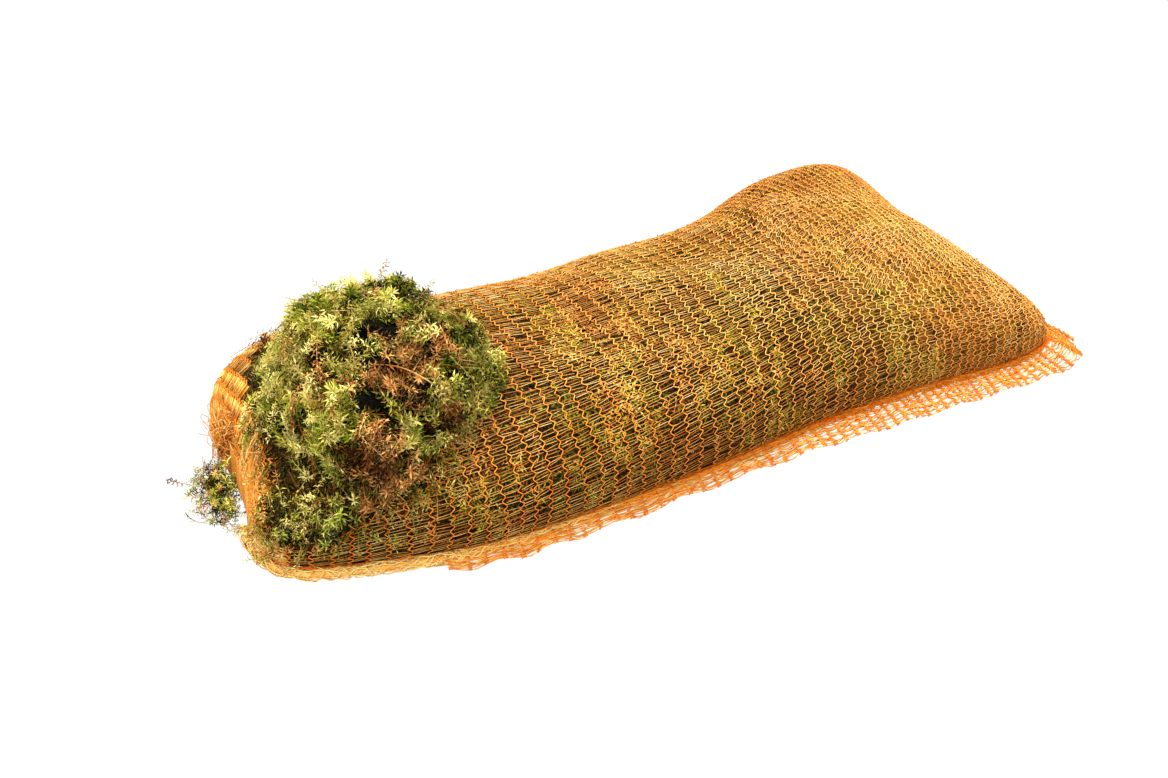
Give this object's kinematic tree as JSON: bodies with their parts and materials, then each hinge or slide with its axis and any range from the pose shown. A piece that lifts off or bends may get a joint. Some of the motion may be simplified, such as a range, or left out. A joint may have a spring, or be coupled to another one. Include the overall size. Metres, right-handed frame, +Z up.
{
  "type": "moss clump in a net sack",
  "caption": "Knitted net sack packed with moss, lying on its side, torn open at one end with a clump of moss pulled out.",
  "frame": {"origin": "under the middle of the whole object, on the surface that it lies on", "axes": "+X along the sack from its torn end to its flat end, +Y from its sewn side to its far side, +Z up"},
  "size_m": [0.6017, 0.2985, 0.1392],
  "materials": {
    "packed_moss": "damp and matt, brown and green",
    "green_moss": "matt, feathery",
    "grey_green_moss": "matt, feathery",
    "orange_net": "slightly shiny plastic yarn, knitted",
    "orange_bunch": "slightly shiny plastic yarn, gathered",
    "orange_seam": "plastic yarn, rolled and stitched",
    "orange_frill": "slightly shiny plastic yarn, open ladder knit"
  },
  "bodies": {
    "root": {"packed_moss": "packed_moss", "moss_clump": "green_moss", "fallen_tuft": "grey_green_moss", "net_sack": "orange_net", "gathered_end": "orange_bunch", "rolled_seam": "orange_seam", "seam_frill": "orange_frill"}
  },
  "joints": []
}
